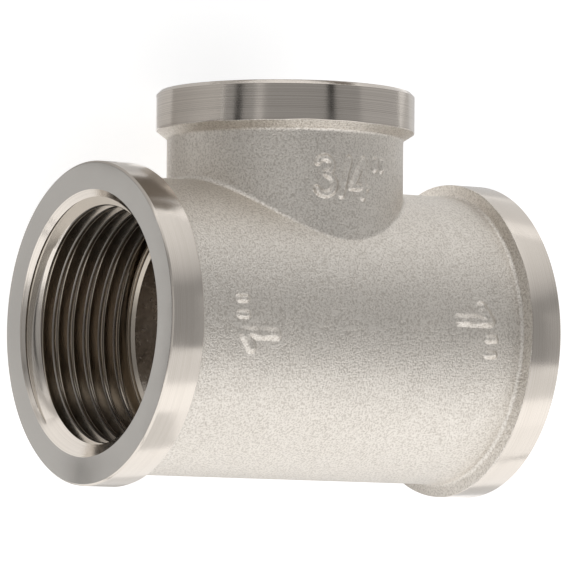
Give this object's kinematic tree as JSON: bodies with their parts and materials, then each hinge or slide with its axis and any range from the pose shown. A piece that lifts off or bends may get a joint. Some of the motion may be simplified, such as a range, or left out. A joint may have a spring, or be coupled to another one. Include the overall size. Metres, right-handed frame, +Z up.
{
  "type": "threaded tee",
  "caption": "Reducing pipe tee with a straight run between two internally threaded ports and a smaller threaded branch at right angles.",
  "frame": {"origin": "centre of the bounding box at the level of the surface that the tee lies on", "axes": "+X along the run, from the left port to the right port; +Y the way the branch points, seen from above; +Z up. The branch itself dips 7.42 degrees below +Y, because the tee rests on its two run collars and its smaller branch collar"},
  "size_m": [0.0596, 0.054, 0.0415],
  "materials": {
    "nickel_plated_brass": "satin"
  },
  "bodies": {
    "root": {"tee_body": "nickel_plated_brass"}
  },
  "joints": []
}
